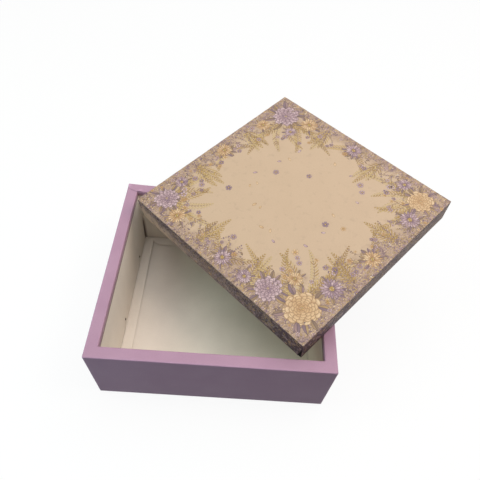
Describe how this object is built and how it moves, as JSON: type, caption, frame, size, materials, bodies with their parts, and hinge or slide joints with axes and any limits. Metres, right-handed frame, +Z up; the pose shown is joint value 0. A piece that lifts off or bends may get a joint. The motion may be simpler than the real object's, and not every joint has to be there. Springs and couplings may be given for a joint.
{
  "type": "hamper box",
  "caption": "Square hamper box: a paper-covered tray with thick walls and card lining, and a shallow printed lid that lies askew on its rim.",
  "frame": {"origin": "middle of the tray's underside, on the surface that it stands on", "axes": "+X along the tray's width, to the right as seen from the front; +Y to its back; +Z up"},
  "size_m": [0.3878, 0.3778, 0.1465],
  "materials": {
    "fibreboard": "bare sanded fibreboard, hidden under the paper",
    "greyboard": "bare grey bookbinding board, hidden under the paper",
    "lilac_paper": "mauve-lilac cover paper with a dull sheen",
    "base_card": "plain off-white card under the tray",
    "cream_card": "matt cream lining card, a little scuffed and creased",
    "printed_paper": "beige paper printed with leaves and blossoms in gold, lilac and deep violet",
    "steel": "dark steel of pins and brads"
  },
  "bodies": {
    "tray": {"tray_front_board": "fibreboard", "tray_back_board": "fibreboard", "tray_left_board": "fibreboard", "tray_right_board": "fibreboard", "tray_bottom_board": "fibreboard", "tray_floor_card": "cream_card", "tray_base_sheet": "base_card", "tray_cover_paper": "lilac_paper", "tray_front_lining": "cream_card", "tray_back_lining": "cream_card", "tray_left_lining": "cream_card", "tray_right_lining": "cream_card", "lining_pin_left_front": "steel", "lining_pin_left_back": "steel", "lining_pin_right_front": "steel", "lining_pin_right_back": "steel", "corner_brad_front_left_low": "steel", "corner_brad_front_left_high": "steel", "corner_brad_front_right_low": "steel", "corner_brad_front_right_high": "steel", "corner_brad_back_left_low": "steel", "corner_brad_back_left_high": "steel", "corner_brad_back_right_low": "steel", "corner_brad_back_right_high": "steel"},
    "lid": {"lid_panel_board": "greyboard", "lid_front_board": "greyboard", "lid_back_board": "greyboard", "lid_left_board": "greyboard", "lid_right_board": "greyboard", "lid_print_sheet": "printed_paper", "lid_panel_lining": "cream_card", "lid_front_lining": "cream_card", "lid_back_lining": "cream_card", "lid_left_lining": "cream_card", "lid_right_lining": "cream_card"}
  },
  "joints": [
    {"name": "lid_lift", "type": "slide", "parent": "tray", "child": "lid", "axis": [0, 0, 1], "range_m": [0, 0.08]}
  ]
}
